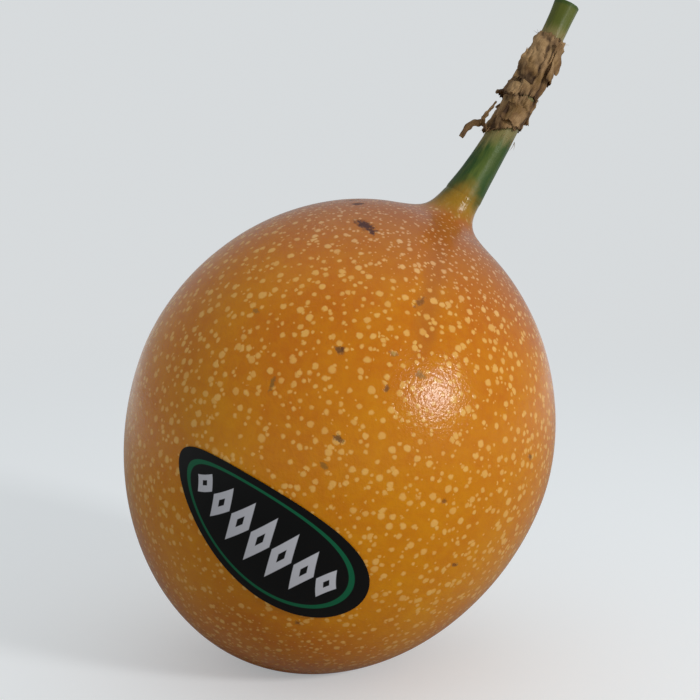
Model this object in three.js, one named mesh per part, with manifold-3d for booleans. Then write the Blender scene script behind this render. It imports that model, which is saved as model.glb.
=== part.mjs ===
// Sweet granadilla (Passiflora ligularis), as picked, resting on the small flat spot near its
// blossom end. Millimetres, +Z up, origin at the centre of the flat spot. The fruit leans to +X
// and a little to +Y, so that its printed label faces -Y.
//
// The fruit is one solid: an egg-shaped body of three faint lobes that rises into a short neck.
// The cut stem stands on the neck. Dried bract remains clasp the stem halfway up: two sleeves,
// three torn stubs, a long curled strand and a short spur. A thin label lies on the skin.

import * as THREE from "three";
import { mergeVertices } from "three/addons/utils/BufferGeometryUtils.js";
import Module from "manifold-3d";

const wasm = await Module();
wasm.setup();

// ---- Driving dimensions -------------------------------------------------------------------

const FRUIT_RADIUS = 32; // across the widest ring
const CROWN_HEIGHT = 34.7; // widest ring to the top of the shoulder
const BASE_HEIGHT = 38.2; // widest ring to the blossom end
const CROWN_FULLNESS = 1.9; // 2 is an ellipse; less is more pointed
const BASE_FULLNESS = 1.95;
const LOBES = 3; // one for each carpel
const LOBE_SHARE = 0.004; // how far a lobe stands out, as a share of the radius

const NECK_TILT = THREE.MathUtils.degToRad(5.9); // the stem grows a little off the fruit's axis
const NECK_HEIGHT = 5;
const NECK_CORE = 2.3; // the neck's radius if it went up for ever
const NECK_SPREAD = 3.4; // how widely its foot runs out onto the shoulder
const NECK_FOOT = 0.5;
const NECK_FADE = 0.15; // blends the foot's rim into the shoulder
const NECK_SWAY = 0.5; // sideways drift of the neck's top

const STEM_END = new THREE.Vector3(8.5, 0, 71.8);
const STEM_BEND = new THREE.Vector3(7.6, 0, 54);
const STEM_WAIST_RADIUS = 1.7;
const STEM_TAPER = 0.33; // share of the stem's length over which its foot thins
const STEM_FLARE = 0.25; // extra radius at the cut end
const FLARE_SHARPNESS = 12;

const GAP = 0.3; // clearance between neighbouring pieces
const BRACT_THICKNESS = 0.4;
const LOWER_SLEEVE = { from: 0.29, to: 0.54, bulge: 0.18 };
const UPPER_SLEEVE = { from: 0.58, to: 0.82, bulge: 0.25 };
const TORN_EDGE = 0.012; // share of the stem's length that a sleeve's torn edge wanders
const STUB_STAND_OFF = 1.6; // from the stem's surface to a stub's root

const LABEL_LENGTH = 32.5; // along the skin
const LABEL_WIDTH = 14.6;
const LABEL_TAPER = 0.28; // its right end is broader than its left, by this share each way
const LABEL_THICKNESS = 0.15;
const LABEL_AIM = new THREE.Vector3(-0.145, -0.87, -0.5).normalize(); // from the fruit's centre
const LABEL_TURN = THREE.MathUtils.degToRad(20); // its right end points down by this much

const LEAN_RIGHT = THREE.MathUtils.degToRad(21.5);
const LEAN_BACK = THREE.MathUtils.degToRad(8);
const REST_SPOT_DEPTH = 1.2; // height of the round that the flat spot takes off

// How finely the round pieces are divided.
const FRUIT_SIDES = 64;
const FRUIT_RINGS = 50; // from the middle of the neck's top to the blossom end
const NECK_RINGS = 12; // those of them on the neck
const STEM_SIDES = 20;
const STEM_STEPS = 24;
const SLEEVE_SIDES = 24;
const SLEEVE_STEPS = 8;
const STRIP_STEPS = 10;
const LABEL_SIDES = 44;
const LABEL_BANDS = 7;

// ---- Finishes -----------------------------------------------------------------------------

const finish = (color, roughness) =>
  new THREE.MeshStandardMaterial({ color, roughness, metalness: 0 });
const SKIN = finish(0xd07c12, 0.4);
const GREEN_STEM = finish(0x4f6a2c, 0.5);
const DRY_BRACT = finish(0x7a5a38, 0.85);
const PRINTED_FILM = finish(0x0b0c0c, 0.3);

// ---- The fruit ----------------------------------------------------------------------------

// Distance from the fruit's centre to its skin, in a unit direction, without the neck.
function skinRadius(direction) {
  const across = Math.hypot(direction.x, direction.y);
  const crown = direction.z > 0;
  const height = crown ? CROWN_HEIGHT : BASE_HEIGHT;
  const fullness = crown ? CROWN_FULLNESS : BASE_FULLNESS;
  const sum =
    (across / FRUIT_RADIUS) ** fullness + (Math.abs(direction.z) / height) ** fullness;
  const lobe = Math.cos(LOBES * Math.atan2(direction.y, direction.x)) * across ** 2;
  return sum ** (-1 / fullness) * (1 + LOBE_SHARE * lobe);
}

const NECK_AIM = new THREE.Vector3(Math.sin(NECK_TILT), 0, Math.cos(NECK_TILT));
const neckCentre = skinRadius(NECK_AIM);
const neckRadius = (rise) => NECK_CORE + NECK_SPREAD / (rise + NECK_FOOT);
const neckAngle = (rise) => Math.asin(neckRadius(rise) / (neckCentre + rise));

// Ring i of the skin, counted from the middle of the neck's top: how far up the neck it is, and
// its angle from the neck's own axis.
function skinRing(i) {
  if (i === 0) return { rise: NECK_HEIGHT, angle: 0 };
  if (i <= NECK_RINGS) {
    const rise = NECK_HEIGHT * (1 - (i - 1) / (NECK_RINGS - 1)) ** 2;
    return { rise, angle: neckAngle(rise) };
  }
  const share = (i - NECK_RINGS) / (FRUIT_RINGS - NECK_RINGS);
  return { rise: 0, angle: THREE.MathUtils.lerp(neckAngle(0), Math.PI, share) };
}

function fruitGeometry() {
  const ball = new THREE.SphereGeometry(1, FRUIT_SIDES, FRUIT_RINGS);
  const geometry = ball.rotateX(Math.PI / 2);
  const place = geometry.attributes.position;
  const point = new THREE.Vector3();
  const neckAxis = new THREE.Quaternion().setFromAxisAngle(
    new THREE.Vector3(0, 1, 0),
    NECK_TILT,
  );
  for (let n = 0; n < place.count; n++) {
    point.fromBufferAttribute(place, n);
    const polar = Math.acos(THREE.MathUtils.clamp(point.z, -1, 1));
    const { rise, angle } = skinRing(Math.round((polar / Math.PI) * FRUIT_RINGS));
    const heading = Math.atan2(point.y, point.x);
    const across = Math.sin(angle);
    point.set(across * Math.cos(heading), across * Math.sin(heading), Math.cos(angle));
    point.applyQuaternion(neckAxis);
    const faded = rise ** 2 / (rise + NECK_FADE);
    point.multiplyScalar(skinRadius(point) + faded);
    point.x += NECK_SWAY * (rise / NECK_HEIGHT) ** 2;
    place.setXYZ(n, point.x, point.y, point.z);
  }
  return geometry;
}

// Where the leaning body would touch a level surface, in its own frame. The body is a
// superellipse turned about its axis, so the touching point has a closed form.
function touchingPoint(down) {
  const dual = 1 / (BASE_FULLNESS - 1);
  const across = Math.hypot(down.x, down.y);
  const power = BASE_FULLNESS * dual;
  const reach =
    ((FRUIT_RADIUS * across) ** power + (BASE_HEIGHT * Math.abs(down.z)) ** power) **
    (1 / power);
  const radius = FRUIT_RADIUS * ((FRUIT_RADIUS * across) / reach) ** dual;
  const drop = BASE_HEIGHT * ((BASE_HEIGHT * Math.abs(down.z)) / reach) ** dual;
  return new THREE.Vector3((radius * down.x) / across, (radius * down.y) / across, -drop);
}

// ---- The stem and what clasps it ----------------------------------------------------------

const stemFoot = NECK_AIM.clone().multiplyScalar(neckCentre + NECK_HEIGHT + GAP);
stemFoot.x += NECK_SWAY;
const STEM_PATH = new THREE.QuadraticBezierCurve3(stemFoot, STEM_BEND, STEM_END);

function stemRadius(share) {
  const foot = neckRadius(NECK_HEIGHT) - STEM_WAIST_RADIUS;
  return (
    STEM_WAIST_RADIUS +
    foot * Math.exp(-share / STEM_TAPER) +
    STEM_FLARE * share ** FLARE_SHARPNESS
  );
}

// Bends a piece built round +Z onto the stem: its heights are shares of the stem's length.
function bendOntoStem(geometry) {
  const place = geometry.attributes.position;
  const side = new THREE.Vector3();
  for (let n = 0; n < place.count; n++) {
    const share = THREE.MathUtils.clamp(place.getZ(n), 0, 1);
    const along = STEM_PATH.getTangentAt(share);
    side.set(along.z, 0, -along.x);
    const point = STEM_PATH.getPointAt(share).addScaledVector(side, place.getX(n));
    place.setXYZ(n, point.x, point.y + place.getY(n), point.z);
  }
  return geometry;
}

// A solid of revolution round +Z from [radius, height] points.
function turned(points, around) {
  const outline = points.map(([radius, height]) => new THREE.Vector2(radius, height));
  return new THREE.LatheGeometry(outline, around).rotateX(Math.PI / 2);
}

// Evenly spaced numbers from a to b, both included.
function steps(a, b, count) {
  return Array.from({ length: count + 1 }, (_, i) => a + ((b - a) * i) / count);
}

function stemGeometry() {
  const side = steps(0, 1, STEM_STEPS).map((share) => [stemRadius(share), share]);
  return bendOntoStem(turned([[0, 0], ...side, [0, 1]], STEM_SIDES));
}

// A dry sleeve round the stem, open at both ends, with torn, wavy edges.
function sleeveGeometry({ from, to, bulge }, tears) {
  const shares = steps(from, to, SLEEVE_STEPS);
  const inner = (share) => stemRadius(share) + GAP;
  const outer = (share) => {
    const middle = Math.sin((Math.PI * (share - from)) / (to - from));
    return inner(share) + BRACT_THICKNESS + bulge * middle;
  };
  const outside = shares.map((share) => [outer(share), share]);
  const inside = shares.map((share) => [inner(share), share]).reverse();
  const geometry = turned([...outside, ...inside, outside[0]], SLEEVE_SIDES);
  const place = geometry.attributes.position;
  for (let n = 0; n < place.count; n++) {
    const heading = Math.atan2(place.getY(n), place.getX(n));
    place.setZ(n, place.getZ(n) + TORN_EDGE * Math.sin(tears * heading));
  }
  return bendOntoStem(geometry);
}

// A dry, oval-sectioned strip along a route.
function stripGeometry(route, width) {
  const path = new THREE.CatmullRomCurve3(route);
  const section = new THREE.Shape();
  section.absellipse(0, 0, width / 2, BRACT_THICKNESS / 2, 0, 2 * Math.PI);
  return new THREE.ExtrudeGeometry(section, {
    steps: STRIP_STEPS,
    curveSegments: 4,
    extrudePath: path,
  });
}

// A torn stub that stands off a sleeve: a ragged, tapering plate, hanging towards the fruit.
function stubGeometry(length, width) {
  const outline = new THREE.Shape();
  outline.moveTo(-width / 2, 0);
  outline.lineTo(width / 2, 0);
  outline.lineTo(width * 0.42, -length * 0.7);
  outline.lineTo(width * 0.2, -length * 0.55);
  outline.lineTo(width * 0.05, -length);
  outline.lineTo(-width * 0.18, -length * 0.62);
  outline.lineTo(-width * 0.36, -length * 0.84);
  outline.closePath();
  return new THREE.ExtrudeGeometry(outline, {
    depth: BRACT_THICKNESS,
    bevelEnabled: false,
  })
    .rotateX(Math.PI / 2)
    .rotateZ(Math.PI / 2);
}

// Puts a stub on the stem at a share of its length, facing a heading, its tip splayed outwards.
function placeStub(stub, share, heading, splay) {
  const along = STEM_PATH.getTangentAt(share);
  const stand = new THREE.Group();
  stand.position.copy(STEM_PATH.getPointAt(share));
  stand.rotation.y = Math.atan2(along.x, along.z);
  const turn = new THREE.Group();
  turn.rotation.z = heading;
  stub.position.x = stemRadius(share) + STUB_STAND_OFF;
  stub.rotation.y = -splay;
  turn.add(stub);
  stand.add(turn);
  return stand;
}

// ---- The label ----------------------------------------------------------------------------

// A thin egg-shaped film, wrapped on the skin a gap above it.
function labelGeometry() {
  const bands = steps(0, 1, LABEL_BANDS);
  const under = bands.map((share) => [share, 0]);
  const over = bands.map((share) => [share, 1]).reverse();
  const geometry = turned([...under, ...over], LABEL_SIDES);
  const east = new THREE.Vector3(0, 0, 1).cross(LABEL_AIM).normalize();
  const down = east.clone().cross(LABEL_AIM).normalize();
  const long = east.clone().multiplyScalar(Math.cos(LABEL_TURN));
  long.addScaledVector(down, Math.sin(LABEL_TURN));
  const short = LABEL_AIM.clone().cross(long);
  const reach = skinRadius(LABEL_AIM);
  const place = geometry.attributes.position;
  for (let n = 0; n < place.count; n++) {
    const x = place.getX(n);
    const sweep = long.clone().multiplyScalar((x * LABEL_LENGTH) / 2);
    sweep.addScaledVector(short, (place.getY(n) * (1 + LABEL_TAPER * x) * LABEL_WIDTH) / 2);
    const turn = sweep.length() / reach;
    const aim = sweep.setLength(Math.sin(turn)).addScaledVector(LABEL_AIM, Math.cos(turn));
    aim.multiplyScalar(skinRadius(aim) + GAP + LABEL_THICKNESS * place.getZ(n));
    place.setXYZ(n, aim.x, aim.y, aim.z);
  }
  return geometry;
}

// ---- Cutting the flat spot ----------------------------------------------------------------

function toSolid(geometry) {
  const bare = geometry.clone();
  bare.deleteAttribute("normal");
  bare.deleteAttribute("uv");
  const merged = mergeVertices(bare, 1e-3);
  return new wasm.Manifold(
    new wasm.Mesh({
      numProp: 3,
      vertProperties: merged.attributes.position.array,
      triVerts: new Uint32Array(merged.index.array),
    }),
  );
}

function toGeometry(solid) {
  const mesh = solid.getMesh();
  const geometry = new THREE.BufferGeometry();
  geometry.setAttribute("position", new THREE.BufferAttribute(mesh.vertProperties, 3));
  geometry.setIndex(new THREE.BufferAttribute(mesh.triVerts, 1));
  geometry.computeVertexNormals();
  return geometry;
}

function cutFlatSpot(geometry) {
  const size = 4 * FRUIT_RADIUS;
  const below = new THREE.BoxGeometry(size, size, size).translate(0, 0, -size / 2);
  return toGeometry(toSolid(geometry).subtract(toSolid(below)));
}

// ---- Assembly -----------------------------------------------------------------------------

function piece(name, geometry, material) {
  const mesh = new THREE.Mesh(geometry, material);
  mesh.name = name;
  return mesh;
}

const granadilla = new THREE.Group();

// Everything stands in the leaning group, whose origin is the centre of the widest ring.
const leaning = new THREE.Group();
leaning.rotation.set(-LEAN_BACK, LEAN_RIGHT, 0, "XYZ");
const down = new THREE.Vector3(0, 0, -1).applyQuaternion(leaning.quaternion.clone().invert());
const touching = touchingPoint(down).applyQuaternion(leaning.quaternion);
leaning.position.set(-touching.x, -touching.y, -touching.z - REST_SPOT_DEPTH);
leaning.updateMatrix();
granadilla.add(leaning);

// The fruit is cut level after it is leaned, so it sits straight in the outer group.
const leanedFruit = fruitGeometry().applyMatrix4(leaning.matrix);
granadilla.add(piece("fruit", cutFlatSpot(leanedFruit), SKIN));

leaning.add(piece("stem", stemGeometry(), GREEN_STEM));
leaning.add(piece("bract_sleeve_lower", sleeveGeometry(LOWER_SLEEVE, 3), DRY_BRACT));
leaning.add(piece("bract_sleeve_upper", sleeveGeometry(UPPER_SLEEVE, 2), DRY_BRACT));

const STUBS = [
  { name: "bract_stub_left", share: 0.6, heading: 3.3, length: 3.2, width: 2.4, splay: 0.3 },
  { name: "bract_stub_right", share: 0.79, heading: -0.2, length: 4, width: 2.2, splay: 0.08 },
  { name: "bract_stub_back", share: 0.52, heading: 1.4, length: 3.6, width: 2.4, splay: 0.2 },
];
for (const { name, share, heading, length, width, splay } of STUBS) {
  const stub = piece(name, stubGeometry(length, width), DRY_BRACT);
  leaning.add(placeStub(stub, share, heading, splay));
}

const STRAND_ROUTE = [
  new THREE.Vector3(3, -0.4, 49.5),
  new THREE.Vector3(2.3, -0.7, 50),
  new THREE.Vector3(1.4, -0.8, 49.2),
  new THREE.Vector3(0.9, -0.6, 47.1),
];
const SPUR_ROUTE = [
  new THREE.Vector3(2.7, -0.3, 50.8),
  new THREE.Vector3(2.9, -0.4, 52.1),
  new THREE.Vector3(3.2, -0.2, 53.8),
];
leaning.add(piece("bract_strand", stripGeometry(STRAND_ROUTE, 0.9), DRY_BRACT));
leaning.add(piece("bract_spur", stripGeometry(SPUR_ROUTE, 0.7), DRY_BRACT));

leaning.add(piece("fruit_label", labelGeometry(), PRINTED_FILM));

export default granadilla;
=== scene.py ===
"""A sweet granadilla at rest on a pale studio floor: its looks, camera and light.

The fruit stands in its own leaning frame, whose +Z is the fruit's axis, whose -Y side carries the
label, and whose origin is the centre of the widest ring. Every rule below is written in that frame
and placed by Stance.matrix. Lengths are in metres; the MM and DEG factors keep the sizes readable.
"""

from __future__ import annotations

import logging
import math
from dataclasses import dataclass, field, fields
from enum import Enum
from typing import Callable, Iterable

import bmesh
import bpy
from mathutils import Matrix, Vector, noise

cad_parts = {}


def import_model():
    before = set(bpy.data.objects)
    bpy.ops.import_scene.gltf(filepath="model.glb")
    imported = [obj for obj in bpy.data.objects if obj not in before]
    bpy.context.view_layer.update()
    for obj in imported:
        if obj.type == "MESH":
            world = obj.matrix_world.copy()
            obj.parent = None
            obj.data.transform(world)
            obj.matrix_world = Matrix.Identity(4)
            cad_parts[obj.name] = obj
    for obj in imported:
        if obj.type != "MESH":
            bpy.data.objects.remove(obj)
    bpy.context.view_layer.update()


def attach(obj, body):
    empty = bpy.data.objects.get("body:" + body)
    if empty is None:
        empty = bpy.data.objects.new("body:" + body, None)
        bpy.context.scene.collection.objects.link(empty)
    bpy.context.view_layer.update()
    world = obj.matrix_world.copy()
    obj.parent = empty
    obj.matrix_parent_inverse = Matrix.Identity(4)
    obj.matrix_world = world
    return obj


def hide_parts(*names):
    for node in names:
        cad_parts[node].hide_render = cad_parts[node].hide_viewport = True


LOG = logging.getLogger("granadilla")
MM = 0.001
DEG = math.pi / 180
BODY = "root"

Colour = tuple[float, float, float]


# ---- Node wiring --------------------------------------------------------------------------


@dataclass(frozen=True)
class Wire:
    """A value that flows through a node tree and can be reckoned with.

    Attributes:
        tree: The node tree that it belongs to.
        socket: The output that it comes from.
    """

    tree: bpy.types.NodeTree
    socket: bpy.types.NodeSocket

    def math(self, operation: str, *others: Wire | float) -> Wire:
        """Returns the result of a math node on this value and the others."""
        made = self.tree.nodes.new("ShaderNodeMath")
        made.operation = operation
        for plug, value in zip(made.inputs, (self, *others)):
            feed(self.tree, plug, value)
        return Wire(self.tree, made.outputs[0])

    def vector_math(self, operation: str, *others: Wire | Iterable[float]) -> Wire:
        """Returns the vector result of a vector math node on this value and the others."""
        made = self.tree.nodes.new("ShaderNodeVectorMath")
        made.operation = operation
        for plug, value in zip(made.inputs, (self, *others)):
            feed(self.tree, plug, value)
        return Wire(self.tree, made.outputs["Vector"])

    def length(self) -> Wire:
        """Returns the length of this vector."""
        made = self.tree.nodes.new("ShaderNodeVectorMath")
        made.operation = "LENGTH"
        feed(self.tree, made.inputs[0], self)
        return Wire(self.tree, made.outputs["Value"])

    def parts(self) -> tuple[Wire, Wire, Wire]:
        """Returns the x, y and z of this vector."""
        made = self.tree.nodes.new("ShaderNodeSeparateXYZ")
        feed(self.tree, made.inputs[0], self)
        return tuple(Wire(self.tree, out) for out in made.outputs)

    def scaled(self, factor: Wire | float) -> Wire:
        """Returns this vector times a number."""
        made = self.tree.nodes.new("ShaderNodeVectorMath")
        made.operation = "SCALE"
        feed(self.tree, made.inputs[0], self)
        feed(self.tree, made.inputs["Scale"], factor)
        return Wire(self.tree, made.outputs["Vector"])

    def ramp(self, low: Wire | float, high: Wire | float) -> Wire:
        """Returns 0 up to low, 1 from high on and a smooth step between them."""
        made = self.tree.nodes.new("ShaderNodeMapRange")
        made.interpolation_type = "SMOOTHSTEP"
        for name, value in (("Value", self), ("From Min", low), ("From Max", high)):
            feed(self.tree, made.inputs[name], value)
        return Wire(self.tree, made.outputs[0])

    def clamped(self) -> Wire:
        """Returns this value held between 0 and 1."""
        return self.math("MAXIMUM", 0).math("MINIMUM", 1)

    def __add__(self, other: Wire | float) -> Wire:
        """Returns the sum."""
        return self.math("ADD", other)

    __radd__ = __add__

    def __mul__(self, other: Wire | float) -> Wire:
        """Returns the product."""
        return self.math("MULTIPLY", other)

    __rmul__ = __mul__

    def __sub__(self, other: Wire | float) -> Wire:
        """Returns the difference."""
        return self.math("SUBTRACT", other)

    def __rsub__(self, other: float) -> Wire:
        """Returns a number less this value."""
        return self.math("MULTIPLY_ADD", -1, other)

    def __truediv__(self, other: Wire | float) -> Wire:
        """Returns the quotient."""
        return self.math("DIVIDE", other)

    def __rtruediv__(self, other: float) -> Wire:
        """Returns a number divided by this value."""
        return self.math("POWER", -1) * other

    def __pow__(self, other: Wire | float) -> Wire:
        """Returns the power."""
        return self.math("POWER", other)


def feed(tree: bpy.types.NodeTree, plug: bpy.types.NodeSocket, value: object) -> None:
    """Links a wire to an input, or sets the input to a plain value.

    Args:
        tree: The node tree that holds the input.
        plug: The input.
        value: A Wire, a number, or the numbers of a vector or colour.
    """
    if isinstance(value, Wire):
        tree.links.new(value.socket, plug)
    elif isinstance(value, (tuple, list, Vector)) and plug.type == "RGBA":
        plug.default_value = (*value, 1.0)[:4]
    else:
        plug.default_value = value


@dataclass(frozen=True)
class Graph:
    """Adds nodes to one tree."""

    tree: bpy.types.NodeTree

    def node(self, kind: str, plugs: dict[str, object] | None = None, **settings: object):
        """Adds a node.

        Args:
            kind: The node's type.
            plugs: What to link or set, by input name.
            settings: The node's own properties.

        Returns:
            The node.
        """
        made = self.tree.nodes.new(kind)
        for name, value in settings.items():
            setattr(made, name, value)
        for name, value in (plugs or {}).items():
            feed(self.tree, made.inputs[name], value)
        return made

    def wire(
        self, kind: str, plugs: dict[str, object] | None = None, out: str | int = 0, **settings: object
    ) -> Wire:
        """Adds a node and returns one of its outputs."""
        return Wire(self.tree, self.node(kind, plugs, **settings).outputs[out])

    def vector(self, x: Wire | float, y: Wire | float, z: Wire | float) -> Wire:
        """Returns a vector from its three parts."""
        return self.wire("ShaderNodeCombineXYZ", {"X": x, "Y": y, "Z": z})

    def cloud(self, place: Wire, grain: float, detail: float = 3, roughness: float = 0.5) -> Wire:
        """Returns fractal noise between 0 and 1.

        Args:
            place: Where to read it.
            grain: The size of its largest lumps, in the place's units.
            detail: The number of finer octaves.
            roughness: How strong the finer octaves are.
        """
        plugs = {"Vector": place, "Scale": 1 / grain, "Detail": detail, "Roughness": roughness}
        return self.wire("ShaderNodeTexNoise", plugs)

    def blend(self, share: Wire | float, first: object, second: object, how: str = "MIX") -> Wire:
        """Returns a colour between two colours.

        Args:
            share: 0 gives the first colour and 1 the second.
            first: The first colour, or a wire.
            second: The second colour, or a wire.
            how: The blend type.
        """
        made = self.tree.nodes.new("ShaderNodeMix")
        made.data_type = "RGBA"
        made.blend_type = how
        feed(self.tree, made.inputs[0], share)
        feed(self.tree, made.inputs[6], first)
        feed(self.tree, made.inputs[7], second)
        return Wire(self.tree, made.outputs[2])


def shared_group(
    name: str,
    inputs: dict[str, tuple[str, object]],
    outputs: dict[str, str],
    wiring: Callable[[Graph, dict[str, Wire]], dict[str, Wire]],
) -> bpy.types.NodeTree:
    """Builds a shader node group once.

    Args:
        name: The group's name.
        inputs: Socket type and default for each input name.
        outputs: Socket type for each output name.
        wiring: Turns the input wires into the output wires.

    Returns:
        The group.
    """
    if name in bpy.data.node_groups:
        return bpy.data.node_groups[name]
    group = bpy.data.node_groups.new(name, "ShaderNodeTree")
    for label, (kind, default) in inputs.items():
        plug = group.interface.new_socket(name=label, in_out="INPUT", socket_type=kind)
        if default is not None:
            plug.default_value = default
    for label, kind in outputs.items():
        group.interface.new_socket(name=label, in_out="OUTPUT", socket_type=kind)
    graph = Graph(group)
    entry = graph.node("NodeGroupInput")
    wires = {label: Wire(group, entry.outputs[label]) for label in inputs}
    graph.node("NodeGroupOutput", wiring(graph, wires))
    return group


NUMBER = "NodeSocketFloat"
TRIPLE = "NodeSocketVector"
TINT = "NodeSocketColor"


# ---- The shape's rules --------------------------------------------------------------------


@dataclass(frozen=True)
class Egg:
    """The fruit's body: a turned superellipse with three faint lobes."""

    radius: float = 32 * MM
    crown_height: float = 34.7 * MM
    base_height: float = 38.2 * MM
    crown_fullness: float = 1.9
    base_fullness: float = 1.95
    lobe_share: float = 0.004

    def reach(self, aim: Vector) -> float:
        """Returns the distance from the centre to the skin in a unit direction."""
        across = math.hypot(aim.x, aim.y)
        height = self.crown_height if aim.z > 0 else self.base_height
        fullness = self.crown_fullness if aim.z > 0 else self.base_fullness
        total = (across / self.radius) ** fullness + (abs(aim.z) / height) ** fullness
        lobe = math.cos(3 * math.atan2(aim.y, aim.x)) * across**2
        return total ** (-1 / fullness) * (1 + self.lobe_share * lobe)

    def lowest(self, down: Vector) -> Vector:
        """Returns the skin's furthest point in a downward unit direction."""
        dual = 1 / (self.base_fullness - 1)
        power = self.base_fullness * dual
        across = math.hypot(down.x, down.y)
        span = (self.radius * across) ** power + (self.base_height * abs(down.z)) ** power
        span **= 1 / power
        ring = self.radius * (self.radius * across / span) ** dual
        drop = self.base_height * (self.base_height * abs(down.z) / span) ** dual
        return Vector((ring * down.x / across, ring * down.y / across, -drop))

    def spot(self, azimuth: float, height: float) -> Vector:
        """Returns the point of the skin at an azimuth and a height.

        Args:
            azimuth: Round the axis, from +X.
            height: Above the widest ring.
        """
        tall = self.crown_height if height > 0 else self.base_height
        fullness = self.crown_fullness if height > 0 else self.base_fullness
        ring = self.radius * (1 - (abs(height) / tall) ** fullness) ** (1 / fullness)
        return Vector((ring * math.cos(azimuth), ring * math.sin(azimuth), height))


@dataclass(frozen=True)
class Stance:
    """How the fruit leans, and how deep its flat spot is."""

    lean_right: float = 21.5 * DEG
    lean_back: float = 8 * DEG
    rest_depth: float = 1.2 * MM

    def matrix(self, egg: Egg) -> Matrix:
        """Returns the placement of the fruit's own frame."""
        turn = Matrix.Rotation(-self.lean_back, 4, "X") @ Matrix.Rotation(self.lean_right, 4, "Y")
        down = turn.inverted() @ Vector((0, 0, -1))
        touch = turn @ egg.lowest(down)
        place = Vector((-touch.x, -touch.y, -touch.z - self.rest_depth))
        return Matrix.Translation(place) @ turn


@dataclass(frozen=True)
class Neck:
    """The short neck on the fruit's crown, which the stem stands on."""

    tilt: float = 5.9 * DEG
    height: float = 5 * MM
    core: float = 2.3 * MM
    spread: float = 3.4 * MM * MM
    foot: float = 0.5 * MM
    fade: float = 0.15 * MM
    sway: float = 0.5 * MM

    def radius(self, rise: float) -> float:
        """Returns the neck's radius at a height above the crown."""
        return self.core + self.spread / (rise + self.foot)

    def top(self, egg: Egg) -> Vector:
        """Returns the centre of the neck's top."""
        aim = Vector((math.sin(self.tilt), 0, math.cos(self.tilt)))
        return aim * (egg.reach(aim) + self.height) + Vector((self.sway, 0, 0))


@dataclass(frozen=True)
class StemPath:
    """The stem's centre line, a quadratic curve in the leaning plane, and its thickness."""

    start: Vector
    foot_radius: float
    bend: Vector = Vector((7.6, 0, 54)) * MM
    end: Vector = Vector((8.5, 0, 71.8)) * MM
    waist: float = 1.7 * MM
    taper: float = 0.33
    flare: float = 0.25 * MM
    flare_sharpness: float = 12

    def point(self, share: float) -> Vector:
        """Returns the centre line's point at a share of its length."""
        rest = 1 - share
        return rest**2 * self.start + 2 * share * rest * self.bend + share**2 * self.end

    def along(self, share: float) -> Vector:
        """Returns the unit direction of the centre line."""
        slope = (1 - share) * (self.bend - self.start) + share * (self.end - self.bend)
        return slope.normalized()

    def radius(self, share: float) -> float:
        """Returns the stem's radius."""
        foot = (self.foot_radius - self.waist) * math.exp(-share / self.taper)
        return self.waist + foot + self.flare * max(share, 0) ** self.flare_sharpness

    def off(self, share: float, heading: float, distance: float) -> Vector:
        """Returns the point at a distance from the centre line.

        Args:
            share: How far up the stem.
            heading: Round the stem, from the fruit's +X side.
            distance: From the centre line.
        """
        along = self.along(share)
        side = Vector((along.z, 0, -along.x))
        out = side * math.cos(heading) + Vector((0, 1, 0)) * math.sin(heading)
        return self.point(share) + out * distance

    def share_at(self, height: float) -> float:
        """Returns the share of the stem's length at a height above the widest ring."""
        low, high = -0.2, 1.2
        for _ in range(40):
            middle = (low + high) / 2
            low, high = (middle, high) if self.point(middle).z < height else (low, middle)
        return low


@dataclass(frozen=True)
class Plan:
    """The whole plant's rules, and the placement of its frame."""

    egg: Egg = Egg()
    neck: Neck = Neck()
    stance: Stance = Stance()

    def stem(self) -> StemPath:
        """Returns the stem's path, standing on the neck."""
        return StemPath(self.neck.top(self.egg), self.neck.radius(self.neck.height))

    def matrix(self) -> Matrix:
        """Returns the placement of the fruit's own frame."""
        return self.stance.matrix(self.egg)


# ---- Geometry Nodes helpers ---------------------------------------------------------------


def shape_tree(name: str, sizes: dict[str, float]) -> tuple[Graph, dict[str, Wire], dict[str, str]]:
    """Starts a Geometry Nodes tree with named number inputs.

    Args:
        name: The tree's name.
        sizes: Each input's name and value.

    Returns:
        The graph, the input wires and the inputs' identifiers.
    """
    tree = bpy.data.node_groups.new(name, "GeometryNodeTree")
    tree.interface.new_socket(name="Geometry", in_out="INPUT", socket_type="NodeSocketGeometry")
    keys = {}
    for label, value in sizes.items():
        plug = tree.interface.new_socket(name=label, in_out="INPUT", socket_type=NUMBER)
        plug.default_value = value
        keys[label] = plug.identifier
    tree.interface.new_socket(name="Geometry", in_out="OUTPUT", socket_type="NodeSocketGeometry")
    graph = Graph(tree)
    entry = graph.node("NodeGroupInput")
    wires = {label: Wire(tree, entry.outputs[label]) for label in ("Geometry", *sizes)}
    return graph, wires, keys


def end_tree(graph: Graph, shape: Wire, material: bpy.types.Material, smooth: bool = True) -> None:
    """Ends a tree with real, smooth faces that wear a material.

    Args:
        graph: The tree.
        shape: The geometry.
        material: The finish.
        smooth: Whether the faces are shaded smooth.
    """
    real = graph.wire("GeometryNodeRealizeInstances", {"Geometry": shape})
    shaded = graph.wire(
        "GeometryNodeSetShadeSmooth", {"Geometry": real, "Shade Smooth": smooth}, domain="FACE"
    )
    dressed = graph.wire("GeometryNodeSetMaterial", {"Geometry": shaded, "Material": material})
    graph.node("NodeGroupOutput", {"Geometry": dressed})


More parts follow.
